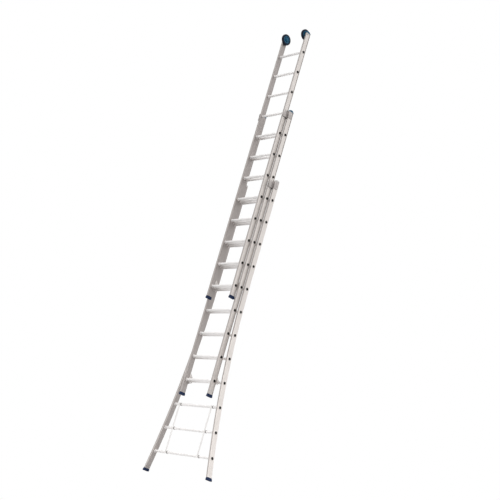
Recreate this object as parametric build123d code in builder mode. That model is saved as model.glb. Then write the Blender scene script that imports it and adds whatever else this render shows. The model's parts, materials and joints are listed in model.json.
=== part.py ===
from build123d import *
import os
from dataclasses import dataclass
from math import sqrt

# Three-section extension ladder, standing with its stiles along Z.
# X runs along the rungs, Y from the climber's side to the wall side. Sizes are in millimetres.

# Rungs and how far the sections are drawn out, counted in rungs
rung_count = 12
rung_pitch = 280
mid_raise = 3
top_raise = 4
rung_diameter = 30
rung_wall = 2
rung_fit = 0.05
bead_width = 2.5
bead_rise = 2.5

# Stiles: hollow box section, each section nested inside the one below
top_width = 418
stile_thickness = 25
stile_depth = 66
stile_wall = 2
stile_corner = 3
side_gap = 12
section_gap = 9

# Guide groove along the outer face of the two upper sections, and flutes on their inner face
groove_width = 12.5
groove_depth = 8
flute_width = 3
flute_depth = 0.7
flute_place = 24

# Stile ends: below the lowest rung and above the highest one
base_tail = 240
mid_tail = 186
top_tail = 158
base_head = 232
mid_head = 306
top_head = 262

# Flare of the base: an arc that leaves the straight stile at this height above the floor
flare_height = 2243
flare_radius = 9490

# Shoes
shoe_height = 32
shoe_sole = 10
shoe_wall = 1.5
shoe_round = 9
shoe_fit = 0.1
tread_width = 5
tread_depth = 3
tread_count = 4

# End caps
cap_edge = 14
cap_crown = 26
cap_round = 2.5
plug_length = 22
axle_plug_length = 40
plug_fit = 0.15

# Guide brackets at the top of the base and the middle section
bracket_sheet = 3
bracket_height = 90
bracket_bend = 4
bracket_leg = 54
bracket_clearance = 6
bracket_play = 1
bracket_lip = 22
bracket_lip_height = 50
bracket_corner = 14

# Guide blocks that run in the grooves
guide_height = 90
guide_drop = 8
guide_length = 27
guide_rivet_edge = 9
guide_side_play = 0.8
guide_end_play = 1
guide_face_play = 2.6

# Hooks that hang on the rung of the section below, and their latches
hook_thickness = 6
hook_rise = 82
hook_drop = 42
hook_land = 10
hook_beak = 12
hook_tip = 18
hook_crown = 12
hook_seat = 0.3
hook_round = 4
bead_clearance = 1.5
latch_thickness = 5
latch_gap = 0.3
latch_hub_radius = 8
latch_tip_radius = 3.5
latch_reach = 33
latch_rise = 9
pin_radius = 3
pin_inset = 11
pin_fit = 0.03
pin_running_fit = 0.06
pin_head_radius = 5.5
pin_head_height = 2.2

# Tie strips in front of the lowest rungs of the base
strip_width = 24
strip_thickness = 2.5
strip_rungs = 3
strip_overrun = 18

# Rivets
rivet_radius = 2.4
rivet_fit = 0.05
rivet_head_radius = 5
rivet_head_height = 2
rivet_head_slope = 35
rivet_tail_radius = 4
rivet_tail_height = 2
rivet_edge = 18

# Wall wheels and the axles that carry them
wheel_radius = 70
wheel_width = 24
wheel_forward = 8
wheel_drop = 14
tyre_thickness = 22
tyre_round = 7
tyre_fit = 0.05
hub_recess = 5
hub_rim = 7
hub_boss_radius = 17
hub_running_gap = 0.5
hub_cap_height = 8
hub_cap_round = 4
hub_cap_play = 1.5
axle_radius = 6
axle_fit = 0.03
axle_running_fit = 0.06
axle_head_radius = 10
axle_head_height = 4
axle_collar = 5

# Worked-out sizes
rung_radius = rung_diameter / 2
bead_radius = rung_radius + bead_rise
section_step = stile_depth / 2 + section_gap + rung_radius
width_step = stile_thickness + side_gap
front_reach = wheel_radius + wheel_forward
rear_reach = 2 * section_step + stile_depth / 2 + shoe_wall
top_y = (front_reach - rear_reach) / 2
sides = {"left": -1, "right": 1}


@dataclass
class Section:
    name: str
    half: float
    y: float
    lowest: float
    tail: float
    head: float

    @property
    def inner(self):
        return self.half - stile_thickness

    @property
    def middle(self):
        return self.half - stile_thickness / 2

    @property
    def foot(self):
        return self.lowest - self.tail

    @property
    def highest(self):
        return self.lowest + (rung_count - 1) * rung_pitch

    @property
    def end(self):
        return self.highest + self.head

    @property
    def rows(self):
        return [self.lowest + i * rung_pitch for i in range(rung_count)]


top_half = top_width / 2
mid_lowest = base_tail + mid_raise * rung_pitch
top_lowest = mid_lowest + top_raise * rung_pitch
base = Section("base", top_half + 2 * width_step, top_y + 2 * section_step, base_tail, base_tail, base_head)
mid = Section("mid", top_half + width_step, top_y + section_step, mid_lowest, mid_tail, mid_head)
top = Section("top", top_half, top_y, top_lowest, top_tail, top_head)


def write(piece, name):
    piece.label = name
    export_step(piece, f"parts/{name}.step")


os.makedirs("parts", exist_ok=True)


# Where the rivets go: side to side position, depth and height, and the way their heads face
def below_plug(section):
    return section.end - plug_length - 2 * rivet_head_radius


def bracket_rivets(section, side):
    x = side * (section.half + bracket_sheet)
    depth = section.y - stile_depth / 2 + bracket_leg - rivet_edge
    heights = (below_plug(section), section.end - bracket_height + rivet_edge)
    return [((x, depth, z), side) for z in heights]


def guide_rivets(section, side):
    x = side * (section.inner - side_gap + guide_face_play)
    depth = section.y - stile_depth / 2 + guide_length - guide_rivet_edge
    heights = (below_plug(section), section.end - guide_drop - guide_height + rivet_edge)
    return [((x, depth, z), -side) for z in heights]


def hook_rivets(section, side):
    x = side * (section.inner - hook_thickness)
    depth = section.y + (bead_radius + bead_clearance + stile_depth / 2) / 2
    heights = (section.lowest + bead_radius + rivet_edge / 2, section.lowest + hook_rise - rivet_edge)
    return [((x, depth, z), -side) for z in heights]


def holes(places, length):
    # Rivet holes along X through a sheet, for the piece that is being made
    for (x, y, z), facing in places:
        with Locations(Location((x, y, z), (0, 90, 0))):
            Cylinder(rivet_radius + rivet_fit, 2 * length, mode=Mode.SUBTRACT)


def rivets(rows, strips=False):
    # Rivets along X: a head on the sheet, a shank through the grip and a tail behind it
    with BuildPart() as group:
        for places, grip in rows:
            for place, facing in places:
                start = Plane(origin=place, x_dir=(0, 1, 0), z_dir=(facing, 0, 0))
                with BuildSketch(start):
                    Circle(rivet_head_radius)
                extrude(amount=rivet_head_height, taper=rivet_head_slope)
                with BuildSketch(start):
                    Circle(rivet_radius)
                extrude(amount=-grip - rivet_tail_height)
                with BuildSketch(start.offset(-grip)):
                    Circle(rivet_tail_radius)
                extrude(amount=-rivet_tail_height)
        if strips:
            # Rivets along Y that hold the tie strips to the rungs
            front = Plane.XZ.offset(rung_radius + strip_thickness - base.y)
            places = [(strip_x(side), z) for side in sides.values() for z in base.rows[:strip_rungs]]
            with BuildSketch(front):
                with Locations(*places):
                    Circle(rivet_head_radius)
            extrude(amount=rivet_head_height, taper=rivet_head_slope)
            with BuildSketch(front):
                with Locations(*places):
                    Circle(rivet_radius)
            extrude(amount=-strip_thickness - rung_wall - rivet_tail_height)
    return group.part


# Base section
def flare_curve(z, inset):
    # Half width on the flare's full circle, measured to a face that lies inside the outer one
    return base.half + flare_radius - sqrt((flare_radius + inset) ** 2 - (flare_height - z) ** 2)


def flank(z, inset):
    # Half width of the base at a height: on the circle in the flare and straight above it
    return flare_curve(min(z, flare_height), inset)


def flank_line(side, inset, low, high):
    Line((side * flank(high, inset), high), (side * flank(flare_height, inset), flare_height))
    TangentArc(
        (side * flank(flare_height, inset), flare_height),
        (side * flank(low, inset), low),
        tangent=(0, -1),
    )


def band(first, second, low, high):
    # Face between two flank lines, each given as its side and its inset
    with BuildSketch(Plane.XZ.offset(-base.y)) as face:
        with BuildLine():
            for side, inset in (first, second):
                flank_line(side, inset, low, high)
            for z in (low, high):
                Line((first[0] * flank(z, first[1]), z), (second[0] * flank(z, second[1]), z))
        make_face()
    return face.sketch


def rung_space(z, inset):
    # The space between the two flanks around a rung, curved where the rung's middle lies in the flare
    curved = z < flare_height
    edge = flare_curve if curved else flank
    levels = (z - 2 * bead_radius, z, z + 2 * bead_radius)
    with BuildPart() as space:
        with BuildSketch(Plane.XZ.offset(-base.y)):
            with BuildLine():
                for side in sides.values():
                    points = [(side * edge(level, inset), level) for level in levels]
                    if curved:
                        ThreePointArc(*points)
                    else:
                        Line(points[0], points[-1])
                for level in (levels[0], levels[-1]):
                    Line((-edge(level, inset), level), (edge(level, inset), level))
            make_face()
        extrude(amount=stile_depth, both=True)
    return space.part


def base_stile(side):
    with BuildPart() as stile:
        outline = band((side, 0), (side, stile_thickness), shoe_sole, base.end)
        extrude(outline, amount=stile_depth / 2, both=True)
        long_edges = stile.edges().filter_by(lambda edge: edge.bounding_box().size.Z > stile_thickness)
        fillet(long_edges, stile_corner)
        hollow = band((side, stile_wall), (side, stile_thickness - stile_wall), shoe_sole, base.end)
        extrude(hollow, amount=stile_depth / 2 - stile_wall, both=True, mode=Mode.SUBTRACT)
        with BuildSketch(Plane.YZ):
            with Locations(*[(base.y, z) for z in base.rows]):
                Circle(rung_radius + rung_fit)
        extrude(amount=side * 2 * flank(0, 0), mode=Mode.SUBTRACT)
        holes(bracket_rivets(base, side), bracket_sheet + stile_wall)
        holes(guide_rivets(base, side), side_gap)
    return stile.part


def strip_x(side):
    return side * base.middle


def base_rung(z, strips):
    reach = flank(0, -bead_width)
    with BuildPart() as bead_space:
        add(rung_space(z, stile_thickness))
        add(rung_space(z, stile_thickness + bead_width), mode=Mode.SUBTRACT)
    with BuildPart() as waist:
        with BuildSketch(Plane.YZ.offset(-reach)):
            with Locations((base.y, z)):
                Circle(bead_radius + bead_rise)
                Circle(rung_radius, mode=Mode.SUBTRACT)
        extrude(amount=2 * reach)
        add(rung_space(z, 0), mode=Mode.INTERSECT)
        add(bead_space.part, mode=Mode.SUBTRACT)
    with BuildPart() as rung:
        with BuildSketch(Plane.YZ.offset(-reach)):
            with Locations((base.y, z)):
                Circle(bead_radius)
        extrude(amount=2 * reach)
        add(rung_space(z, -bead_width), mode=Mode.INTERSECT)
        add(waist.part, mode=Mode.SUBTRACT)
        with BuildSketch(Plane.YZ.offset(-reach)):
            with Locations((base.y, z)):
                Circle(rung_radius - rung_wall)
        extrude(amount=2 * reach, mode=Mode.SUBTRACT)
        if strips:
            with BuildSketch(Plane.XZ.offset(-base.y)):
                with Locations(*[(strip_x(side), z) for side in sides.values()]):
                    Circle(rivet_radius + rivet_fit)
            extrude(amount=rung_diameter, mode=Mode.SUBTRACT)
    return rung.part


def tie_strip(side):
    low = base.rows[0] - strip_overrun
    high = base.rows[strip_rungs - 1] + strip_overrun
    with BuildPart() as strip:
        with BuildSketch(Plane.XZ.offset(rung_radius - base.y)):
            with Locations((strip_x(side), (low + high) / 2)):
                SlotOverall(high - low, strip_width, rotation=90)
            with Locations(*[(strip_x(side), z) for z in base.rows[:strip_rungs]]):
                Circle(rivet_radius + rivet_fit, mode=Mode.SUBTRACT)
        extrude(amount=strip_thickness)
    return strip.part


# Pieces that the sections share
axle_y = top.y - wheel_forward
axle_z = top.end - wheel_drop


def groove_place(section, side):
    # Middle of the guide groove, side to side and in depth
    depth = section.y + stile_depth / 2 - stile_wall - groove_width / 2
    return side * (section.half - groove_depth / 2), depth


def axle_hole(side):
    # Hole along X for the wheel axle, through the piece that is being made
    with Locations(Location((side * top.middle, axle_y, axle_z), (0, 90, 0))):
        Cylinder(axle_radius + axle_fit, 2 * stile_thickness, mode=Mode.SUBTRACT)


def upper_stile(section, side):
    low = section.foot + shoe_sole
    x = side * section.middle
    groove_x, groove_y = groove_place(section, side)
    with BuildPart() as stile:
        with BuildSketch(Plane.XY.offset(low)):
            with Locations((x, section.y)):
                RectangleRounded(stile_thickness, stile_depth, stile_corner)
                Rectangle(stile_thickness - 2 * stile_wall, stile_depth - 2 * stile_wall, mode=Mode.SUBTRACT)
            with Locations((groove_x - side * stile_wall / 2, groove_y - stile_wall / 2)):
                Rectangle(groove_depth + stile_wall, groove_width + stile_wall)
            with Locations((groove_x, groove_y)):
                Rectangle(groove_depth, groove_width, mode=Mode.SUBTRACT)
            with Locations(*[(side * section.inner, section.y + s * flute_place) for s in (-1, 1)]):
                Rectangle(2 * flute_depth, flute_width, mode=Mode.SUBTRACT)
        extrude(amount=section.end - low)
        with BuildSketch(Plane.YZ):
            with Locations(*[(section.y, z) for z in section.rows]):
                Circle(rung_radius + rung_fit)
        extrude(amount=side * 2 * section.half, mode=Mode.SUBTRACT)
        if section is mid:
            holes(bracket_rivets(mid, side), bracket_sheet + stile_wall)
            holes(guide_rivets(mid, side), side_gap)
        else:
            axle_hole(side)
        holes(hook_rivets(section, side), hook_thickness + stile_wall)
    return stile.part


def upper_rungs(section):
    with BuildPart() as rungs:
        for radius, start, length in (
            (rung_radius, -section.half, 2 * section.half),
            (bead_radius, -section.half - bead_width, bead_width),
            (bead_radius, section.half, bead_width),
            (bead_radius, -section.inner, bead_width),
            (bead_radius, section.inner - bead_width, bead_width),
        ):
            with BuildSketch(Plane.YZ.offset(start)):
                with Locations(*[(section.y, z) for z in section.rows]):
                    Circle(radius)
            extrude(amount=length)
        with BuildSketch(Plane.YZ.offset(-section.half - bead_width)):
            with Locations(*[(section.y, z) for z in section.rows]):
                Circle(rung_radius - rung_wall)
        extrude(amount=2 * (section.half + bead_width), mode=Mode.SUBTRACT)
    return rungs.part


def shoe(section, side):
    half_length = stile_depth / 2 + shoe_wall
    tread_step = 2 * (half_length - shoe_round) / (tread_count + 1)
    treads = [section.y + (i - (tread_count - 1) / 2) * tread_step for i in range(tread_count)]
    reach = flank(0, -shoe_wall) + shoe_wall
    with BuildPart() as body:
        with BuildSketch(Plane.YZ) as outline:
            with Locations((section.y, section.foot)):
                Rectangle(2 * half_length, shoe_height, align=(Align.CENTER, Align.MIN))
            fillet(outline.vertices().group_by(Axis.Y)[0], shoe_round)
            with Locations(*[(place, section.foot) for place in treads]):
                Rectangle(tread_width, 2 * tread_depth, mode=Mode.SUBTRACT)
        extrude(amount=side * reach)
        if section is base:
            both_sides = band((side, -shoe_wall), (side, stile_thickness + shoe_wall), -shoe_sole, base.end)
            extrude(both_sides, amount=2 * half_length, both=True, mode=Mode.INTERSECT)
            pocket = band((side, -shoe_fit), (side, stile_thickness + shoe_fit), shoe_sole, base.end)
            extrude(pocket, amount=stile_depth / 2 + shoe_fit, both=True, mode=Mode.SUBTRACT)
        else:
            with BuildSketch(Plane.XY.offset(section.foot)):
                with Locations((side * section.middle, section.y)):
                    RectangleRounded(stile_thickness + 2 * shoe_wall, 2 * half_length, stile_corner)
            extrude(amount=shoe_height, mode=Mode.INTERSECT)
            with BuildSketch(Plane.XY.offset(section.foot + shoe_sole)):
                with Locations((side * section.middle, section.y)):
                    Rectangle(stile_thickness + 2 * shoe_fit, stile_depth + 2 * shoe_fit)
            extrude(amount=shoe_height, mode=Mode.SUBTRACT)
    return body.part


def plug_outline(section, side):
    # What fits in the stile's hollow beside the groove
    front = -stile_depth / 2 + stile_wall + plug_fit
    rear = stile_depth / 2 - stile_wall - plug_fit
    if section is not base:
        rear = rear - groove_width - stile_wall
    with Locations((side * section.middle, section.y + (front + rear) / 2)):
        Rectangle(stile_thickness - 2 * stile_wall - 2 * plug_fit, rear - front)


def end_cap(section, side):
    # An arched crown on the stile's end and a plug in its hollow, crossed by the axle on the top section
    front = section.y - stile_depth / 2
    rear = section.y + stile_depth / 2
    shoulder = section.end + cap_edge
    with BuildPart() as cap:
        with BuildSketch(Plane.YZ.offset(side * section.inner)):
            with BuildLine():
                Polyline((front, shoulder), (front, section.end), (rear, section.end), (rear, shoulder))
                ThreePointArc((rear, shoulder), (section.y, section.end + cap_crown), (front, shoulder))
            make_face()
        extrude(amount=side * stile_thickness)
        fillet(cap.edges().filter_by(Axis.Z), stile_corner)
        fillet(cap.faces().sort_by(Axis.Z)[-1].edges(), cap_round)
        with BuildSketch(Plane.XY.offset(section.end)):
            plug_outline(section, side)
        extrude(amount=-(axle_plug_length if section is top else plug_length))
        if section is not base:
            with BuildSketch(Plane.XY.offset(section.end)):
                with Locations(groove_place(section, side)):
                    Rectangle(groove_depth, groove_width)
            extrude(amount=cap_crown, mode=Mode.SUBTRACT)
        if section is top:
            axle_hole(side)
    return cap.part


def bracket(section, side):
    # One bent sheet: along the lower stile, across its front, along the upper stile and round its front
    half_sheet = bracket_sheet / 2
    rear = section.y - stile_depth / 2 + bracket_leg
    front = section.y - stile_depth / 2 - half_sheet
    upper_x = section.half - width_step + bracket_clearance + half_sheet
    upper_front = section.y - section_step - stile_depth / 2 - bracket_play - half_sheet
    outer_x = section.half + half_sheet
    low = section.end - bracket_height
    with BuildPart() as sheet:
        with BuildSketch(Plane.XY.offset(low)):
            with BuildLine():
                FilletPolyline(
                    (side * outer_x, rear),
                    (side * outer_x, front),
                    (side * upper_x, front),
                    (side * upper_x, upper_front),
                    (side * (upper_x - bracket_lip), upper_front),
                    radius=bracket_bend,
                )
            trace(line_width=bracket_sheet)
        extrude(amount=bracket_height)
        with BuildSketch(Plane.XZ.offset(-upper_front - 2 * bracket_sheet)):
            with Locations((side * (upper_x - half_sheet - bracket_bend), section.end)):
                Rectangle(
                    2 * bracket_lip,
                    2 * (bracket_height - bracket_lip_height),
                    align=(Align.MAX if side > 0 else Align.MIN, Align.CENTER),
                )
        extrude(amount=4 * bracket_sheet, mode=Mode.SUBTRACT)
        rear_edges = sheet.edges().filter_by(Axis.X).group_by(Axis.Y)[-1]
        fillet(rear_edges, bracket_corner)
        holes(bracket_rivets(section, side), bracket_sheet)
    return sheet.part


def guide_blocks(section):
    # On each side, a flange on the lower stile's inner face with a tongue in the groove of the stile above
    high = section.end - guide_drop
    upper = section.inner - side_gap
    front = section.y - stile_depth / 2 + guide_side_play / 2
    tongue_rear = section.y - section_step + stile_depth / 2 - stile_wall - guide_side_play
    with BuildPart() as blocks:
        for side in sides.values():
            with BuildSketch(Plane.XY.offset(high - guide_height)):
                with BuildLine():
                    Polyline(
                        (side * section.inner, front),
                        (side * section.inner, front + guide_length),
                        (side * (upper + guide_face_play), front + guide_length),
                        (side * (upper + guide_face_play), tongue_rear),
                        (side * (upper - groove_depth + guide_end_play), tongue_rear),
                        (side * (upper - groove_depth + guide_end_play), front),
                        close=True,
                    )
                make_face()
            extrude(amount=guide_height)
            holes(guide_rivets(section, side), side_gap)
    return blocks.part


def pin_place(section):
    # Latch pivot, in depth and height
    return section.y + section_step - rung_radius - pin_inset, section.lowest - hook_drop + pin_inset


def hook(section, side):
    # A plate on the stile's inner face that reaches over the rung of the section below
    plane = Plane.YZ.offset(side * section.inner)
    front = section.y + bead_radius + bead_clearance
    centre = section.y + section_step
    mouth = rung_radius + hook_seat
    tip = centre + mouth + hook_beak
    z = section.lowest
    with BuildPart() as plate:
        with BuildSketch(plane):
            with BuildLine():
                Polyline(
                    (centre - mouth, z),
                    (centre - mouth, z - hook_drop),
                    (front, z - hook_drop),
                    (front, z + hook_rise),
                    (front + hook_land, z + hook_rise),
                    (tip, z + rung_radius + hook_crown),
                    (tip, z - hook_tip),
                    (centre + mouth, z - hook_tip),
                    (centre + mouth, z),
                )
                ThreePointArc((centre + mouth, z), (centre, z + mouth), (centre - mouth, z))
            make_face()
        extrude(amount=-side * hook_thickness)
        corners = plate.edges().filter_by(Axis.X).group_by(Axis.Y)
        fillet(corners[0] + corners[-1], hook_round)
        with BuildSketch(plane):
            with Locations(pin_place(section)):
                Circle(pin_radius + pin_fit)
        extrude(amount=-side * hook_thickness, mode=Mode.SUBTRACT)
        holes(hook_rivets(section, side), hook_thickness)
    return plate.part


def latch(section, side):
    # A finger that lies under the rung and swings down on its pin
    y, z = pin_place(section)
    with BuildPart() as finger:
        with BuildSketch(Plane.YZ.offset(side * (section.inner - hook_thickness - latch_gap))):
            with Locations((y, z)):
                Circle(latch_hub_radius)
            with Locations((y + latch_reach, z + latch_rise)):
                Circle(latch_tip_radius)
            make_hull()
            with Locations((y, z)):
                Circle(pin_radius + pin_running_fit, mode=Mode.SUBTRACT)
        extrude(amount=-side * latch_thickness)
    return finger.part


def latch_pins(section):
    grip = hook_thickness + 2 * latch_gap + latch_thickness
    with BuildPart() as pins:
        for side in sides.values():
            with BuildSketch(Plane.YZ.offset(side * section.inner)):
                with Locations(pin_place(section)):
                    Circle(pin_radius)
            extrude(amount=-side * (grip + pin_head_height))
            with BuildSketch(Plane.YZ.offset(side * (section.inner - grip))):
                with Locations(pin_place(section)):
                    Circle(pin_head_radius)
            extrude(amount=-side * pin_head_height)
    return pins.part


# Wall wheels
wheel_face = top.inner - axle_collar - hub_running_gap


def axles():
    inner_end = wheel_face - wheel_width - hub_running_gap
    with BuildPart() as bolts:
        for side in sides.values():
            for radius, start, length in (
                (axle_radius, inner_end, top.half - inner_end),
                (axle_head_radius, top.half, axle_head_height),
                (axle_head_radius, top.inner - axle_collar, axle_collar),
                (axle_head_radius, inner_end - axle_head_height, axle_head_height),
            ):
                with BuildSketch(Plane.YZ.offset(side * start)):
                    with Locations((axle_y, axle_z)):
                        Circle(radius)
                extrude(amount=side * length)
    return bolts.part


def wheel_hub(side):
    hub_radius = wheel_radius - tyre_thickness
    plane = Plane.YZ.offset(side * wheel_face)
    with BuildPart() as hub:
        with BuildSketch(plane):
            with Locations((axle_y, axle_z)):
                Circle(hub_radius)
        extrude(amount=-side * wheel_width)
        for start, inward in ((0, -1), (wheel_width, 1)):
            with BuildSketch(Plane.YZ.offset(side * (wheel_face - start))):
                with Locations((axle_y, axle_z)):
                    Circle(hub_radius - hub_rim)
                    Circle(hub_boss_radius, mode=Mode.SUBTRACT)
            extrude(amount=side * inward * hub_recess, mode=Mode.SUBTRACT)
        with BuildSketch(plane):
            with Locations((axle_y, axle_z)):
                Circle(axle_radius + axle_running_fit)
        extrude(amount=-side * wheel_width, mode=Mode.SUBTRACT)
    return hub.part


def hub_cap(side):
    # A dome on the hub's boss, over the inner head of the axle
    plane = Plane.YZ.offset(side * (wheel_face - wheel_width))
    with BuildPart() as dome:
        with BuildSketch(plane):
            with Locations((axle_y, axle_z)):
                Circle(hub_boss_radius)
        extrude(amount=-side * hub_cap_height)
        outer_rim = dome.edges().filter_by(GeomType.CIRCLE).sort_by(lambda edge: abs(edge.center().X))[0]
        fillet(outer_rim, hub_cap_round)
        with BuildSketch(plane):
            with Locations((axle_y, axle_z)):
                Circle(axle_head_radius + hub_cap_play)
        extrude(amount=-side * (hub_running_gap + axle_head_height + hub_cap_play), mode=Mode.SUBTRACT)
    return dome.part


def tyre(side):
    with BuildPart() as ring:
        with BuildSketch(Plane.YZ.offset(side * wheel_face)):
            with Locations((axle_y, axle_z)):
                Circle(wheel_radius)
        extrude(amount=-side * wheel_width)
        rims = ring.edges().filter_by(GeomType.CIRCLE)
        fillet(rims, tyre_round)
        with BuildSketch(Plane.YZ.offset(side * wheel_face)):
            with Locations((axle_y, axle_z)):
                Circle(wheel_radius - tyre_thickness + tyre_fit)
        extrude(amount=-side * wheel_width, mode=Mode.SUBTRACT)
    return ring.part


# Rivets of each section
base_rows = []
mid_rows = []
top_rows = []
for side in sides.values():
    for section, rows in ((base, base_rows), (mid, mid_rows)):
        rows.append((bracket_rivets(section, side), bracket_sheet + stile_wall))
        rows.append((guide_rivets(section, side), side_gap - guide_face_play + stile_wall))
    for section, rows in ((mid, mid_rows), (top, top_rows)):
        rows.append((hook_rivets(section, side), hook_thickness + stile_wall))
write(rivets(base_rows, strips=True), "base_rivets")
write(rivets(mid_rows), "mid_rivets")
write(rivets(top_rows), "top_rivets")

# Every piece that comes as a left and a right one
for place, side in sides.items():
    write(base_stile(side), f"base_stile_{place}")
    write(tie_strip(side), f"tie_strip_{place}")
    for section in (mid, top):
        write(upper_stile(section, side), f"{section.name}_stile_{place}")
        write(hook(section, side), f"{section.name}_hook_{place}")
        write(latch(section, side), f"{section.name}_latch_{place}")
    for section in (base, mid):
        write(bracket(section, side), f"{section.name}_bracket_{place}")
    for section in (base, mid, top):
        write(shoe(section, side), f"{section.name}_shoe_{place}")
        write(end_cap(section, side), f"{section.name}_cap_{place}")
    write(wheel_hub(side), f"wheel_hub_{place}")
    write(hub_cap(side), f"hub_cap_{place}")
    write(tyre(side), f"tyre_{place}")

# Rungs, guide blocks, pins and axles
for number, height in enumerate(base.rows, start=1):
    write(base_rung(height, number <= strip_rungs), f"base_rung_{number:02d}")
for section in (base, mid):
    write(guide_blocks(section), f"{section.name}_guides")
for section in (mid, top):
    write(upper_rungs(section), f"{section.name}_rungs")
    write(latch_pins(section), f"{section.name}_latch_pins")
write(axles(), "wheel_axles")
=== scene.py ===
import bpy
import bmesh
import json
from math import asin, atan2, cos, floor, pi, radians, sqrt
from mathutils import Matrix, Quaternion, Vector


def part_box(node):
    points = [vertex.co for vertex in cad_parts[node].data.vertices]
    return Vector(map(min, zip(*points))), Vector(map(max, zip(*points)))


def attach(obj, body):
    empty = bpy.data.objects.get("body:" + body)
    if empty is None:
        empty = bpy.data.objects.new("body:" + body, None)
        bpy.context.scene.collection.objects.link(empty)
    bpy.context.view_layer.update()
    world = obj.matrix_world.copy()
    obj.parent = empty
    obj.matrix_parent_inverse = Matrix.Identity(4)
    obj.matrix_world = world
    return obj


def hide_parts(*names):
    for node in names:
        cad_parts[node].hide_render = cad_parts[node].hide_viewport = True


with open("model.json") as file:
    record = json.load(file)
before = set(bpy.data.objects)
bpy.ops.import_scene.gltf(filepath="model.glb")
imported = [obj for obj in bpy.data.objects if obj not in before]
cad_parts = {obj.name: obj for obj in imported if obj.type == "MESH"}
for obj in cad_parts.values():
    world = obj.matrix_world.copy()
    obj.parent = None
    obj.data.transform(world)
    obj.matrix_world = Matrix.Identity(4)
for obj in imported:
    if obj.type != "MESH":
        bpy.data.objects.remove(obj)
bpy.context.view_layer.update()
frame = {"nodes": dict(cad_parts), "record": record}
nodes = frame["nodes"]

# Sizes of the ladder, in metres
sides = {"left": -1, "right": 1}
rung_pitch = 0.280
rung_count = 12
rung_radius = 0.015
rung_bore = 0.013
rung_sides = 60
rib_edge = 0.00035
rib_depth = 0.0006
bead_width = 0.0025
bead_radius = 0.0175
stile_thickness = 0.025
stile_depth = 0.066
lowest_rung = {"base": 0.240, "mid": 1.080, "top": 2.200}
flare_height = 2.243
flare_radius = 9.490
shoe_wall = 0.0016
shoe_height = 0.032
shoe_sole = 0.010
shoe_foot_height = 0.019
shoe_foot_rise = 0.003
shoe_round = 0.006
shoe_corner = 0.004
shoe_spare = 0.012
grip_grooves = (0.0225, 0.027)
grip_groove_width = 0.002
grip_groove_depth = 0.0007
tread_count = 4
tread_width = 0.005
tread_depth = 0.003
tread_border = 0.008
wheel_radius = 0.070
wheel_width = 0.024
hub_radius = 0.048
hub_sides = 48
hub_rim = 0.007
hub_boss = 0.017
hub_recess = 0.005
hub_spoke_every = 8
axle_bore = 0.00606
tyre_seat = 0.0481
tyre_sides = 96
tyre_round = 0.005
tyre_grooves = (-0.0045, 0.0045)
tyre_groove_width = 0.0022
tyre_groove_depth = 0.0022
tyre_wall_border = 0.0045
tyre_wall_recess = 0.0008
plug_radius = 0.0168
plug_rise = 0.0020
plug_dish = 0.0008
plug_tail = 0.0080
plug_ring = 0.3 * plug_radius
plug_draft = 0.92
plug_play = 0.0001
small_round_sides = 32
strip_width = 0.024
strip_rungs = 3
clip_width = 0.008
clip_radius = 0.0172

# Broken edges
hook_edge = 0.0010
moulding_edge = 0.0008
hub_edge = 0.0007
sheet_edge = 0.0006
fine_edge = 0.0005

# How nearly a face looks along an axis or across it, and how near two places count as one
looks_along = 0.9
leans_across = 0.3
looks_across = 0.1
weld = 0.00001
near = 0.0001
nearby = 0.0002
within_reach = 0.0005
rim_reach = 0.001


def middle_y(section):
    low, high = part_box(f"{section}_stile_right")
    return (low.y + high.y) / 2


section_y = {section: middle_y(section) for section in lowest_rung}
outer_half = {section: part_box(f"{section}_stile_right")[1].x for section in ("mid", "top")}
outer_half["base"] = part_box("base_cap_right")[1].x


# Modelling by hand: what each operator acts on is picked by place and direction
def rest():
    if bpy.context.object and bpy.context.object.mode != "OBJECT":
        bpy.ops.object.mode_set(mode="OBJECT")
    bpy.ops.object.select_all(action="DESELECT")


def begin(name):
    piece = bpy.context.object
    piece.name = name
    piece.data.name = name
    bpy.ops.object.transform_apply(location=True, rotation=True, scale=True)
    bpy.ops.object.mode_set(mode="EDIT")
    return piece


def pick(kind, wanted):
    bpy.ops.mesh.select_mode(type=kind)
    bpy.ops.mesh.select_all(action="DESELECT")
    mesh = bmesh.from_edit_mesh(bpy.context.object.data)
    mesh.normal_update()
    count = 0
    if kind == "FACE":
        for face in mesh.faces:
            if wanted(face.calc_center_median(), face.normal):
                face.select_set(True)
                count += 1
    elif kind == "EDGE":
        for edge in mesh.edges:
            start, end = edge.verts[0].co, edge.verts[1].co
            if wanted((start + end) / 2, end - start):
                edge.select_set(True)
                count += 1
    else:
        for vertex in mesh.verts:
            if wanted(vertex.co, vertex.normal):
                vertex.select_set(True)
                count += 1
    mesh.select_flush_mode()
    bmesh.update_edit_mesh(bpy.context.object.data)
    return count


def pull(x=0.0, y=0.0, z=0.0):
    bpy.ops.mesh.extrude_region_move(TRANSFORM_OT_translate={"value": (x, y, z)})


def swell(factor, centre):
    bpy.ops.transform.resize(value=(factor, factor, factor), center_override=centre)


def done(piece, body, slot_name, *replaced, smooth=35):
    bpy.ops.object.mode_set(mode="EDIT")
    bpy.ops.mesh.select_all(action="SELECT")
    bpy.ops.mesh.remove_doubles(threshold=weld)
    bpy.ops.mesh.normals_make_consistent(inside=False)
    bpy.ops.object.mode_set(mode="OBJECT")
    bpy.ops.object.shade_smooth_by_angle(angle=radians(smooth))
    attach(piece, body)
    if replaced:
        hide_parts(*replaced)
    return piece


def apply(piece, kind, **settings):
    bpy.ops.object.mode_set(mode="OBJECT")
    modifier = piece.modifiers.new(kind.lower(), kind)
    for key, value in settings.items():
        setattr(modifier, key, value)
    bpy.ops.object.modifier_apply(modifier=modifier.name)


def break_edges(piece, width):
    apply(piece, "BEVEL", width=width, segments=2, limit_method="ANGLE", angle_limit=radians(40))


# Finishes
def node(tree, kind, **sockets):
    made = tree.nodes.new(kind)
    for key, value in sockets.items():
        made.inputs[key.replace("_", " ")].default_value = value
    return made


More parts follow.
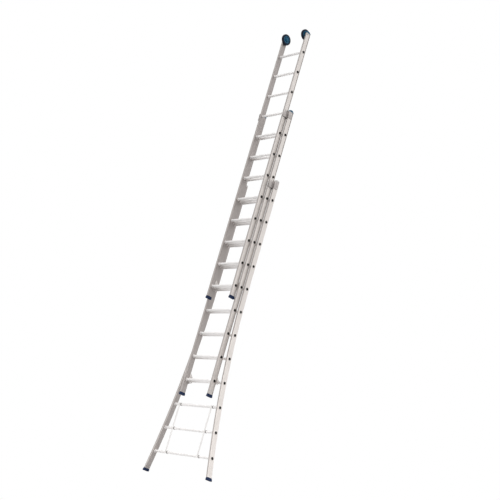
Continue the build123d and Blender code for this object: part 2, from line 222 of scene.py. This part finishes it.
def start_finish(name, metallic, specular=0.5):
    material = bpy.data.materials.new(name)
    material.use_nodes = True
    tree = material.node_tree
    shader = tree.nodes["Principled BSDF"]
    shader.inputs["Metallic"].default_value = metallic
    shader.inputs["Specular IOR Level"].default_value = specular
    return material, tree, shader


def pattern(tree, scale, detail=3.0, stretch=(1, 1, 1), rough=0.55):
    place = tree.nodes.new("ShaderNodeTexCoord")
    mapping = node(tree, "ShaderNodeMapping", Scale=stretch)
    noise = node(tree, "ShaderNodeTexNoise", Scale=scale, Detail=detail, Roughness=rough)
    tree.links.new(place.outputs["Object"], mapping.inputs["Vector"])
    tree.links.new(mapping.outputs["Vector"], noise.inputs["Vector"])
    return noise.outputs["Fac"]


def spread(tree, value, low, high, start=0.3, end=0.7):
    limits = {"From Min": start, "From Max": end, "To Min": low, "To Max": high}
    made = tree.nodes.new("ShaderNodeMapRange")
    for key, number in limits.items():
        made.inputs[key].default_value = number
    tree.links.new(value, made.inputs["Value"])
    return made.outputs["Result"]


def blend_colours(tree, amount, first, second, mode="MIX"):
    made = tree.nodes.new("ShaderNodeMix")
    made.data_type = "RGBA"
    made.blend_type = mode
    tree.links.new(amount, made.inputs["Factor"])
    for socket, colour in ((made.inputs[6], first), (made.inputs[7], second)):
        if isinstance(colour, tuple):
            socket.default_value = (*colour, 1.0)
        else:
            tree.links.new(colour, socket)
    return made.outputs[2]


def relief(tree, shader, height, strength, distance):
    bump = node(tree, "ShaderNodeBump", Strength=strength, Distance=distance)
    tree.links.new(height, bump.inputs["Height"])
    tree.links.new(bump.outputs["Normal"], shader.inputs["Normal"])


def painted_shade_mask(tree):
    # Painted shade mask: 1 on faces that look to the ladder's middle, less on the front faces, 0 on the
    # others, where the stile colour is darkened to stand in for shade
    place = tree.nodes.new("ShaderNodeTexCoord")
    at = tree.nodes.new("ShaderNodeSeparateXYZ")
    facing = tree.nodes.new("ShaderNodeSeparateXYZ")
    tree.links.new(place.outputs["Object"], at.inputs["Vector"])
    tree.links.new(place.outputs["Normal"], facing.inputs["Vector"])
    side = tree.nodes.new("ShaderNodeMath")
    side.operation = "SIGN"
    tree.links.new(at.outputs["X"], side.inputs[0])
    outward = tree.nodes.new("ShaderNodeMath")
    outward.operation = "MULTIPLY"
    tree.links.new(side.outputs["Value"], outward.inputs[0])
    tree.links.new(facing.outputs["X"], outward.inputs[1])
    either = tree.nodes.new("ShaderNodeMath")
    either.operation = "MAXIMUM"
    tree.links.new(spread(tree, outward.outputs["Value"], 1.0, 0.0, -0.9, -0.5), either.inputs[0])
    tree.links.new(spread(tree, facing.outputs["Y"], 0.7, 0.0, -0.9, -0.5), either.inputs[1])
    return either.outputs["Value"]


def drawn_metal(name, bright, shade, along, metallic, low, high, painted_shade_colour=None):
    # Extruded or drawn aluminium: fine lines along its length, faint handling marks, and, where a painted
    # shade colour is given, painted shade on the faces that look to the ladder's middle and on the front
    # faces
    material, tree, shader = start_finish(name, metallic)
    lines = pattern(tree, 1.0, 4.0, along)
    marks = pattern(tree, 6.0, 5.0)
    colour = blend_colours(tree, spread(tree, lines, 0.0, 1.0), shade, bright)
    worn = tuple(0.86 * part for part in shade)
    colour = blend_colours(tree, spread(tree, marks, 0.0, 0.45, 0.52, 0.75), colour, worn)
    # Painted shade: the inner faces, and the front faces less, are darkened toward the painted shade colour
    if painted_shade_colour:
        colour = blend_colours(tree, painted_shade_mask(tree), colour, painted_shade_colour)
    tree.links.new(colour, shader.inputs["Base Color"])
    tree.links.new(spread(tree, marks, low, high), shader.inputs["Roughness"])
    relief(tree, shader, lines, 0.12, 0.0004)
    return material


def plated_sheet(name, bright, shade, low, high):
    # Zinc-plated steel: a soft spangle over fine scratches
    material, tree, shader = start_finish(name, 0.85)
    place = tree.nodes.new("ShaderNodeTexCoord")
    spangle = node(tree, "ShaderNodeTexVoronoi", Scale=160.0)
    tree.links.new(place.outputs["Object"], spangle.inputs["Vector"])
    scratches = pattern(tree, 300.0, 4.0, (1, 1, 0.08))
    colour = blend_colours(tree, spread(tree, spangle.outputs["Color"], 0.0, 1.0, 0.0, 1.0), shade, bright)
    tree.links.new(colour, shader.inputs["Base Color"])
    tree.links.new(spread(tree, scratches, low, high), shader.inputs["Roughness"])
    relief(tree, shader, scratches, 0.15, 0.0003)
    return material


def cast_metal(name, bright, shade):
    # Sand-cast aluminium: a fine grain
    material, tree, shader = start_finish(name, 0.75)
    grain = pattern(tree, 900.0, 3.0)
    patches = pattern(tree, 40.0, 4.0)
    colour = blend_colours(tree, spread(tree, patches, 0.0, 1.0), shade, bright)
    tree.links.new(colour, shader.inputs["Base Color"])
    tree.links.new(spread(tree, grain, 0.42, 0.62), shader.inputs["Roughness"])
    relief(tree, shader, grain, 0.35, 0.0005)
    return material


def moulded(name, colour, paler, low, high, grain_size, depth, specular):
    # Moulded plastic or rubber: a fine skin texture with scuffs
    material, tree, shader = start_finish(name, 0.0, specular)
    skin = pattern(tree, grain_size, 2.0)
    scuffs = pattern(tree, 55.0, 6.0, (1, 1, 0.4), 0.65)
    shown = blend_colours(tree, spread(tree, scuffs, 0.0, 0.7, 0.5, 0.78), colour, paler)
    tree.links.new(shown, shader.inputs["Base Color"])
    tree.links.new(spread(tree, scuffs, low, high), shader.inputs["Roughness"])
    relief(tree, shader, skin, 0.3, depth)
    return material


along_z = (1600.0, 1600.0, 1.5)
along_x = (1.5, 1600.0, 1600.0)
# The stiles get a painted shade colour on their inner and front faces
stile_finish = drawn_metal(
    "stile_extrusion", (0.76, 0.712, 0.68), (0.725, 0.678, 0.645), along_z, 0.30, 0.34, 0.48,
    painted_shade_colour=(0.385, 0.35, 0.335),
)
rung_finish = drawn_metal("rung_tube", (0.97, 0.95, 0.94), (0.93, 0.91, 0.90), along_x, 0.50, 0.28, 0.42)
strip_finish = drawn_metal("strip_bar", (0.90, 0.88, 0.865), (0.85, 0.83, 0.815), along_z, 0.45, 0.26, 0.40)
# Painted shade: a near-black colour inside the rung tubes, standing in for the shade in the bores
bore_painted_shade = moulded(
    "rung_bore", (0.012, 0.011, 0.011), (0.03, 0.028, 0.027), 0.7, 0.9, 300.0, 0.0004, 0.1,
)
hook_finish = cast_metal("hook_casting", (0.60, 0.57, 0.55), (0.48, 0.455, 0.44))
plate_finish = plated_sheet("bracket_plate", (0.37, 0.345, 0.335), (0.28, 0.26, 0.25), 0.28, 0.44)
rivet_finish = cast_metal("rivet_head", (0.62, 0.59, 0.57), (0.50, 0.475, 0.46))
clip_finish = plated_sheet("clip_plate", (0.20, 0.185, 0.18), (0.14, 0.13, 0.125), 0.34, 0.5)
blue_finish = moulded(
    "blue_moulding", (0.004, 0.110, 0.210), (0.014, 0.145, 0.255), 0.34, 0.5, 1400.0, 0.0002, 0.22,
)
pale_finish = moulded(
    "pale_moulding", (0.78, 0.76, 0.74), (0.64, 0.625, 0.61), 0.38, 0.55, 1400.0, 0.0002, 0.4,
)
guide_finish = moulded(
    "guide_nylon", (0.014, 0.013, 0.013), (0.035, 0.034, 0.034), 0.5, 0.65, 900.0, 0.0003, 0.2,
)
shoe_finish = moulded(
    "shoe_rubber", (0.014, 0.028, 0.078), (0.032, 0.050, 0.105), 0.5, 0.7, 700.0, 0.0004, 0.15,
)
tyre_finish = moulded(
    "tyre_rubber", (0.004, 0.011, 0.026), (0.015, 0.024, 0.042), 0.5, 0.68, 700.0, 0.0004, 0.15,
)

finish_of_slot = {
    "stile": stile_finish,
    "rung": rung_finish,
    "hook": hook_finish,
    "steel": plate_finish,
    "rivet": rivet_finish,
    "blue_plastic": blue_finish,
    "pale_plastic": pale_finish,
    "nylon": guide_finish,
    "shoe": shoe_finish,
    "tyre": tyre_finish,
}
for row in frame["record"]["subparts"]:
    mesh = nodes[row["node"]].data
    mesh.materials.clear()
    shown = strip_finish if row["node"].startswith("tie_strip") else finish_of_slot[row["material_slot"]]
    mesh.materials.append(shown)


# Rungs: a ribbed tube, swaged into a bead on each side of both stiles
def flank(z, inset):
    # Half width of the base at a height, to a face that lies inside the outer one
    drop = max(0.0, flare_height - z)
    return outer_half["base"] + flare_radius - sqrt((flare_radius + inset) ** 2 - drop**2)


def rung_lean(z):
    # How far the base stile leans out at a height
    return asin(max(0.0, flare_height - z) / (flare_radius + stile_thickness / 2))


def ribbed_rung(name, y, z, inner, outer, lean):
    rest()
    bpy.ops.mesh.primitive_cylinder_add(
        vertices=rung_sides, radius=rung_radius, depth=2 * (inner - bead_width),
        location=(0, y, z), rotation=(0, pi / 2, 0),
    )
    rung = begin(name)

    def off_axis(at):
        return sqrt((at.y - y) ** 2 + (at.z - z) ** 2)

    def end_of(side):
        return lambda at, facing: side * at.x > inner - 2 * bead_width and abs(facing.x) > looks_along

    for side in sides.values():
        middle = (side * (inner - bead_width), y, z)
        pick("FACE", end_of(side))
        if lean:
            bpy.ops.transform.rotate(value=side * lean, orient_axis="Y", center_override=middle)
            bpy.ops.transform.resize(value=(1 / cos(lean), 1, 1 / cos(lean)), center_override=middle)

    def every_second_strip(at, facing):
        turn = atan2(at.z - z, at.y - y) / (2 * pi / rung_sides)
        return abs(facing.x) < looks_across and floor(turn) % 2 == 0

    pick("FACE", every_second_strip)
    bpy.ops.mesh.inset(thickness=rib_edge, depth=-rib_depth, use_individual=True)
    swage = bead_radius / rung_radius
    for side in sides.values():
        pick("FACE", end_of(side))
        x = side * (inner - bead_width)
        for radius, reach in (
            (swage, bead_width),
            (1 / swage, outer - inner),
            (swage, bead_width),
        ):
            pull()
            swell(radius, (x, y, z))
            pull(x=side * reach)
            x += side * reach
        pull()
        swell(rung_bore / bead_radius, (x, y, z))
        bpy.ops.mesh.delete(type="ONLY_FACE")
    far = outer + bead_width / 2

    def bore_rim(at, along):
        return abs(at.x) > far - bead_width and off_axis(at) < (rung_bore + rung_radius) / 2

    pick("EDGE", bore_rim)
    bpy.ops.mesh.bridge_edge_loops()
    rung.data.materials.append(rung_finish)
    rung.data.materials.append(bore_painted_shade)

    # The faces inside the bore get the painted shade colour
    def in_bore(at, facing):
        return abs(facing.x) < looks_across and off_axis(at) < rung_radius - 1.5 * rib_depth

    pick("FACE", in_bore)
    rung.active_material_index = 1
    bpy.ops.object.material_slot_assign()
    return rung


for number in range(1, rung_count + 1):
    height = lowest_rung["base"] + rung_pitch * (number - 1)
    rung = ribbed_rung(
        f"base_ribbed_rung_{number:02d}", section_y["base"], height,
        flank(height, stile_thickness), flank(height, 0.0), rung_lean(height),
    )
    done(rung, "base", "rung", f"base_rung_{number:02d}")
for section in ("mid", "top"):
    rungs = ribbed_rung(
        f"{section}_ribbed_rungs", section_y[section], lowest_rung[section],
        outer_half[section] - stile_thickness, outer_half[section], 0.0,
    )
    apply(
        rungs, "ARRAY", count=rung_count, use_relative_offset=False, use_constant_offset=True,
        constant_offset_displace=(0, 0, rung_pitch),
    )
    done(rungs, section, "rung", f"{section}_rungs")


# Dark plugs in the rung ends
def rung_plug():
    rest()
    bpy.ops.mesh.primitive_cylinder_add(
        vertices=small_round_sides, radius=plug_radius, depth=plug_rise,
        location=(plug_rise / 2, 0, 0), rotation=(0, pi / 2, 0),
    )
    plug = begin("rung_plug")
    pick("FACE", lambda at, facing: facing.x > looks_along)
    bpy.ops.mesh.inset(thickness=plug_ring)
    pull(x=-plug_dish)
    swell(plug_draft, (plug_rise, 0, 0))
    bpy.ops.mesh.inset(thickness=plug_ring)
    pull(x=plug_dish)
    pick("FACE", lambda at, facing: facing.x < -looks_along)
    bpy.ops.mesh.inset(thickness=plug_radius - rung_bore + plug_play)
    pull(x=-plug_tail)
    plug.data.materials.append(guide_finish)
    break_edges(plug, fine_edge)
    return plug


def rung_plugs(plug, section):
    rest()
    for number in range(rung_count):
        height = lowest_rung[section] + rung_pitch * number
        lean, outer = 0.0, outer_half[section]
        if section == "base":
            lean, outer = rung_lean(height), flank(height, 0.0)
        for side in sides.values():
            copy = plug.copy()
            copy.data = plug.data.copy()
            copy.location = (side * (outer + bead_width), section_y[section], height)
            copy.rotation_euler = (0, -lean, 0 if side > 0 else pi)
            bpy.context.scene.collection.objects.link(copy)
            copy.select_set(True)
    bpy.context.view_layer.objects.active = copy
    bpy.ops.object.join()
    bpy.ops.object.transform_apply(location=True, rotation=True, scale=True)
    copy.name = copy.data.name = f"{section}_rung_plugs"
    done(copy, section, "nylon")


plug = rung_plug()
for section in lowest_rung:
    rung_plugs(plug, section)
bpy.data.objects.remove(plug)


# Clips that hold the tie strips to the rungs
def strip_clip(place, number):
    low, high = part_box(f"tie_strip_{place}")
    height = lowest_rung["base"] + rung_pitch * number
    x = (low.x + high.x) / 2 + (strip_width + clip_width) / 2
    rest()
    bpy.ops.mesh.primitive_cylinder_add(
        vertices=small_round_sides, radius=clip_radius, depth=clip_width, end_fill_type="NOTHING",
        location=(x, section_y["base"], height), rotation=(0, pi / 2, 0),
    )
    clip = begin(f"strip_clip_{place}_{number + 1}")
    clip.data.materials.append(clip_finish)
    apply(clip, "SOLIDIFY", thickness=clip_radius - rung_radius)
    break_edges(clip, fine_edge)
    return done(clip, "base", "steel")


for place in sides:
    for number in range(strip_rungs):
        strip_clip(place, number)


# Shoes: a rubber boot round the stile's end, with grip grooves, a thicker foot and a treaded sole
def rubber_shoe(section, place):
    side = sides[place]
    y = section_y[section]
    floor_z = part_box(f"{section}_shoe_{place}")[0].z
    lean = rung_lean(0.0) if section == "base" else 0.0
    half_stile = stile_thickness / 2
    x = side * (flank(0.0, half_stile) if section == "base" else outer_half[section] - half_stile)
    back = stile_depth / 2 + shoe_wall
    rest()
    bpy.ops.mesh.primitive_cube_add(
        size=1, location=(x, y, floor_z + (shoe_height - shoe_spare) / 2),
        scale=(stile_thickness + 2 * shoe_wall, 2 * back, shoe_height + shoe_spare),
    )
    boot = begin(f"{section}_rubber_shoe_{place}")
    pick("EDGE", lambda at, along: abs(along.z) > shoe_height)
    bpy.ops.mesh.bevel(offset=shoe_corner, segments=5)
    foot_top = floor_z + shoe_foot_height
    cuts = [foot_top]
    for height in grip_grooves:
        cuts += [floor_z + height, floor_z + height + grip_groove_width]
    for z in cuts:
        bpy.ops.mesh.select_all(action="SELECT")
        bpy.ops.mesh.bisect(plane_co=(x, y, z), plane_no=(0, 0, 1))
    pick("FACE", lambda at, facing: at.z < foot_top and abs(facing.z) < leans_across)
    bpy.ops.mesh.extrude_region_shrink_fatten(TRANSFORM_OT_shrink_fatten={"value": shoe_foot_rise})

    def in_groove(at, facing):
        level = at.z - floor_z
        across = abs(facing.z) < leans_across
        return across and any(0 < level - height < grip_groove_width for height in grip_grooves)

    pick("FACE", in_groove)
    bpy.ops.mesh.extrude_region_shrink_fatten(TRANSFORM_OT_shrink_fatten={"value": -grip_groove_depth})
    pick(
        "FACE",
        lambda at, facing: facing.z > looks_along and at.z > floor_z + shoe_height - within_reach,
    )
    bpy.ops.mesh.inset(thickness=shoe_wall)
    pull(z=shoe_sole - shoe_height)
    bpy.ops.mesh.select_all(action="SELECT")
    if lean:
        bpy.ops.transform.rotate(value=side * lean, orient_axis="Y", center_override=(x, y, floor_z))
    bpy.ops.mesh.bisect(plane_co=(x, y, floor_z), plane_no=(0, 0, 1), use_fill=True, clear_inner=True)

    def on_sole(at, facing):
        return facing.z < -looks_along and at.z < floor_z + within_reach

    pick("EDGE", lambda at, along: at.z < floor_z + nearby and abs(along.z) < nearby)
    bpy.ops.mesh.bevel(offset=shoe_round, segments=5)
    half_length = back - tread_border
    tread_step = 2 * half_length / (tread_count + 1)
    treads = [y - half_length + tread_step * (i + 1) for i in range(tread_count)]
    for tread in treads:
        for cut in (tread - tread_width / 2, tread + tread_width / 2):
            pick("FACE", on_sole)
            bpy.ops.mesh.bisect(plane_co=(x, cut, floor_z), plane_no=(0, 1, 0))

    def in_tread(at, facing):
        return on_sole(at, facing) and any(abs(at.y - tread) < tread_width / 2 for tread in treads)

    pick("FACE", in_tread)
    pull(z=tread_depth)
    boot.data.materials.append(shoe_finish)
    break_edges(boot, sheet_edge)
    return done(boot, section, "shoe", f"{section}_shoe_{place}")


for place in sides:
    for section in lowest_rung:
        rubber_shoe(section, place)


# Wall wheels: a spoked hub in a grooved tyre
def wheel_centre(place):
    low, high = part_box(f"tyre_{place}")
    return (low + high) / 2


def from_axle(at, centre):
    return sqrt((at.y - centre.y) ** 2 + (at.z - centre.z) ** 2)


def spoked_hub(place):
    centre = wheel_centre(place)
    rest()
    bpy.ops.mesh.primitive_cylinder_add(
        vertices=hub_sides, radius=hub_radius, depth=wheel_width, location=centre, rotation=(0, pi / 2, 0),
    )
    hub = begin(f"wheel_spoked_hub_{place}")
    for face in sides.values():
        edge = centre.x + face * wheel_width / 2

        def on_face(at, facing):
            return face * facing.x > looks_along and abs(at.x - edge) < near

        pick("FACE", on_face)
        bpy.ops.mesh.inset(thickness=hub_rim)
        bpy.ops.mesh.inset(thickness=hub_radius - hub_rim - hub_boss)

        def between_spokes(at, facing):
            turn = floor(atan2(at.z - centre.z, at.y - centre.y) / (2 * pi / hub_sides))
            in_web = on_face(at, facing) and hub_boss < from_axle(at, centre) < hub_radius - hub_rim
            return in_web and turn % hub_spoke_every > 1

        pick("FACE", between_spokes)
        pull(x=-face * hub_recess)
        pick("FACE", lambda at, facing: on_face(at, facing) and from_axle(at, centre) < hub_boss)
        pull()
        swell(axle_bore / hub_boss, (edge, centre.y, centre.z))
        bpy.ops.mesh.delete(type="ONLY_FACE")
    pick("EDGE", lambda at, along: from_axle(at, centre) < axle_bore + nearby and abs(along.x) < near)
    bpy.ops.mesh.bridge_edge_loops()
    hub.data.materials.append(blue_finish)
    break_edges(hub, hub_edge)
    return done(hub, f"wheel_{place}", "blue_plastic", f"wheel_hub_{place}")


def grooved_tyre(place):
    centre = wheel_centre(place)
    rest()
    bpy.ops.mesh.primitive_cylinder_add(
        vertices=tyre_sides, radius=wheel_radius, depth=wheel_width, end_fill_type="NOTHING",
        location=centre, rotation=(0, pi / 2, 0),
    )
    tyre = begin(f"wheel_grooved_tyre_{place}")
    half = tyre_groove_width / 2
    for groove in tyre_grooves:
        for cut in (groove - half, groove + half):
            bpy.ops.mesh.select_all(action="SELECT")
            bpy.ops.mesh.bisect(plane_co=(centre.x + cut, centre.y, centre.z), plane_no=(1, 0, 0))
    pick("FACE", lambda at, facing: any(abs(at.x - centre.x - groove) < half for groove in tyre_grooves))
    bpy.ops.mesh.extrude_region_shrink_fatten(TRANSFORM_OT_shrink_fatten={"value": -tyre_groove_depth})
    for face in sides.values():
        edge = centre.x + face * wheel_width / 2
        pick("EDGE", lambda at, along: abs(at.x - edge) < near and abs(along.x) < near)
        bpy.ops.mesh.extrude_edges_move(TRANSFORM_OT_translate={"value": (0, 0, 0)})
        swell(tyre_seat / wheel_radius, (edge, centre.y, centre.z))
    pick("EDGE", lambda at, along: from_axle(at, centre) < tyre_seat + nearby)
    bpy.ops.mesh.bridge_edge_loops()
    for face in sides.values():
        edge = centre.x + face * wheel_width / 2
        pick("FACE", lambda at, facing: abs(at.x - edge) < near)
        bpy.ops.mesh.inset(thickness=tyre_wall_border)
        pull(x=-face * tyre_wall_recess)

    def outer_rim(at, along):
        on_side = abs(abs(at.x - centre.x) - wheel_width / 2) < near
        return on_side and abs(along.x) < near and from_axle(at, centre) > wheel_radius - rim_reach

    pick("EDGE", outer_rim)
    bpy.ops.mesh.bevel(offset=tyre_round, segments=5)
    tyre.data.materials.append(tyre_finish)
    break_edges(tyre, fine_edge)
    return done(tyre, f"wheel_{place}", "tyre", f"tyre_{place}")


for place in sides:
    spoked_hub(place)
    grooved_tyre(place)


# Pressed, cast and moulded pieces, with the sharp edges of the solid broken
def eased(node_name, body, slot_name, width):
    rest()
    source = nodes[node_name]
    piece = source.copy()
    piece.data = source.data.copy()
    for tag in list(piece.keys()):
        del piece[tag]
    bpy.context.scene.collection.objects.link(piece)
    piece.name = piece.data.name = f"{node_name}_eased"
    piece.select_set(True)
    bpy.context.view_layer.objects.active = piece
    bpy.ops.object.mode_set(mode="EDIT")
    bpy.ops.mesh.select_all(action="SELECT")
    bpy.ops.mesh.remove_doubles(threshold=weld)
    bpy.ops.mesh.dissolve_limited(angle_limit=radians(1))
    break_edges(piece, width)
    return done(piece, body, slot_name, node_name)


for place in sides:
    for section in ("mid", "top"):
        eased(f"{section}_hook_{place}", section, "hook", hook_edge)
        eased(f"{section}_latch_{place}", f"{section}_latch_{place}", "steel", sheet_edge)
    for section in ("base", "mid"):
        eased(f"{section}_bracket_{place}", section, "steel", sheet_edge)
    eased(f"tie_strip_{place}", "base", "rung", fine_edge)
    eased(f"base_cap_{place}", "base", "pale_plastic", moulding_edge)
    eased(f"mid_cap_{place}", "mid", "blue_plastic", moulding_edge)
    eased(f"top_cap_{place}", "top", "blue_plastic", moulding_edge)
    eased(f"hub_cap_{place}", f"wheel_{place}", "blue_plastic", sheet_edge)


# Floor, light and camera
floor_radius = 6.0
floor_fade = 2.0


def studio_floor():
    # A pale disc that fades out to the white backdrop, and is clear from below
    rest()
    bpy.ops.mesh.primitive_circle_add(vertices=128, radius=floor_radius, fill_type="NGON", location=(0, 0, 0))
    ground = begin("studio_floor")
    bpy.ops.object.mode_set(mode="OBJECT")
    material = bpy.data.materials.new("pale_floor")
    material.use_nodes = True
    tree = material.node_tree
    shader = tree.nodes["Principled BSDF"]
    shader.inputs["Base Color"].default_value = (0.76, 0.76, 0.76, 1.0)
    shader.inputs["Roughness"].default_value = 0.9
    clear = tree.nodes.new("ShaderNodeBsdfTransparent")
    below = tree.nodes.new("ShaderNodeNewGeometry")
    place = tree.nodes.new("ShaderNodeTexCoord")
    reach = tree.nodes.new("ShaderNodeVectorMath")
    reach.operation = "LENGTH"
    tree.links.new(place.outputs["Object"], reach.inputs[0])
    fade = spread(tree, reach.outputs["Value"], 0.0, 1.0, floor_fade, floor_radius)
    hidden = tree.nodes.new("ShaderNodeMath")
    hidden.operation = "MAXIMUM"
    tree.links.new(below.outputs["Backfacing"], hidden.inputs[0])
    tree.links.new(fade, hidden.inputs[1])
    mixed = tree.nodes.new("ShaderNodeMixShader")
    tree.links.new(hidden.outputs["Value"], mixed.inputs["Fac"])
    tree.links.new(shader.outputs["BSDF"], mixed.inputs[1])
    tree.links.new(clear.outputs["BSDF"], mixed.inputs[2])
    tree.links.new(mixed.outputs["Shader"], tree.nodes["Material Output"].inputs["Surface"])
    ground.data.materials.append(material)


def studio_world():
    world = bpy.data.worlds.new("studio")
    bpy.context.scene.world = world
    world.use_nodes = True
    tree = world.node_tree
    ambient = tree.nodes["Background"]
    ambient.inputs["Color"].default_value = (1.0, 1.0, 1.0, 1.0)
    ambient.inputs["Strength"].default_value = 0.20
    backdrop = tree.nodes.new("ShaderNodeBackground")
    backdrop.inputs["Color"].default_value = (1.0, 1.0, 1.0, 1.0)
    backdrop.inputs["Strength"].default_value = 1.0
    path = tree.nodes.new("ShaderNodeLightPath")
    seen = path.outputs["Is Camera Ray"]
    for ray in ("Is Glossy Ray", "Is Transmission Ray"):
        either = tree.nodes.new("ShaderNodeMath")
        either.operation = "MAXIMUM"
        tree.links.new(seen, either.inputs[0])
        tree.links.new(path.outputs[ray], either.inputs[1])
        seen = either.outputs["Value"]
    mixed = tree.nodes.new("ShaderNodeMixShader")
    tree.links.new(seen, mixed.inputs["Fac"])
    tree.links.new(ambient.outputs["Background"], mixed.inputs[1])
    tree.links.new(backdrop.outputs["Background"], mixed.inputs[2])
    tree.links.new(mixed.outputs["Shader"], tree.nodes["World Output"].inputs["Surface"])


def soft_lamp(name, coming_from, softness, strength):
    rest()
    bpy.ops.object.light_add(type="SUN", location=8 * Vector(coming_from))
    lamp = bpy.context.object
    lamp.name = name
    lamp.data.angle = radians(softness)
    lamp.data.energy = strength
    lamp.rotation_euler = Vector(coming_from).to_track_quat("Z", "Y").to_euler()


def photo_camera():
    place = Vector((9.4610, -7.8680, -1.2323))
    aim = Vector((0.0978, 0.1180, 2.7130))
    roll = radians(16.103)
    rest()
    bpy.ops.object.camera_add(location=place)
    camera = bpy.context.object
    camera.name = "photo_camera"
    camera.data.sensor_fit = "HORIZONTAL"
    camera.data.sensor_width = 36.0
    camera.data.lens = 79.84
    camera.data.clip_end = 200.0
    level = (aim - place).to_track_quat("-Z", "Y")
    camera.rotation_euler = (level @ Quaternion((0, 0, 1), roll)).to_euler()
    bpy.context.scene.camera = camera


studio_floor()
studio_world()
soft_lamp("key_lamp", (0.78, 0.05, 0.62), 90.0, 1.15)
soft_lamp("overhead_lamp", (-0.05, -0.42, 0.91), 70.0, 2.3)
soft_lamp("left_lamp", (-1.0, 0.25, 0.3), 60.0, 0.8)
photo_camera()
bpy.context.scene.view_settings.view_transform = "Standard"

rest()
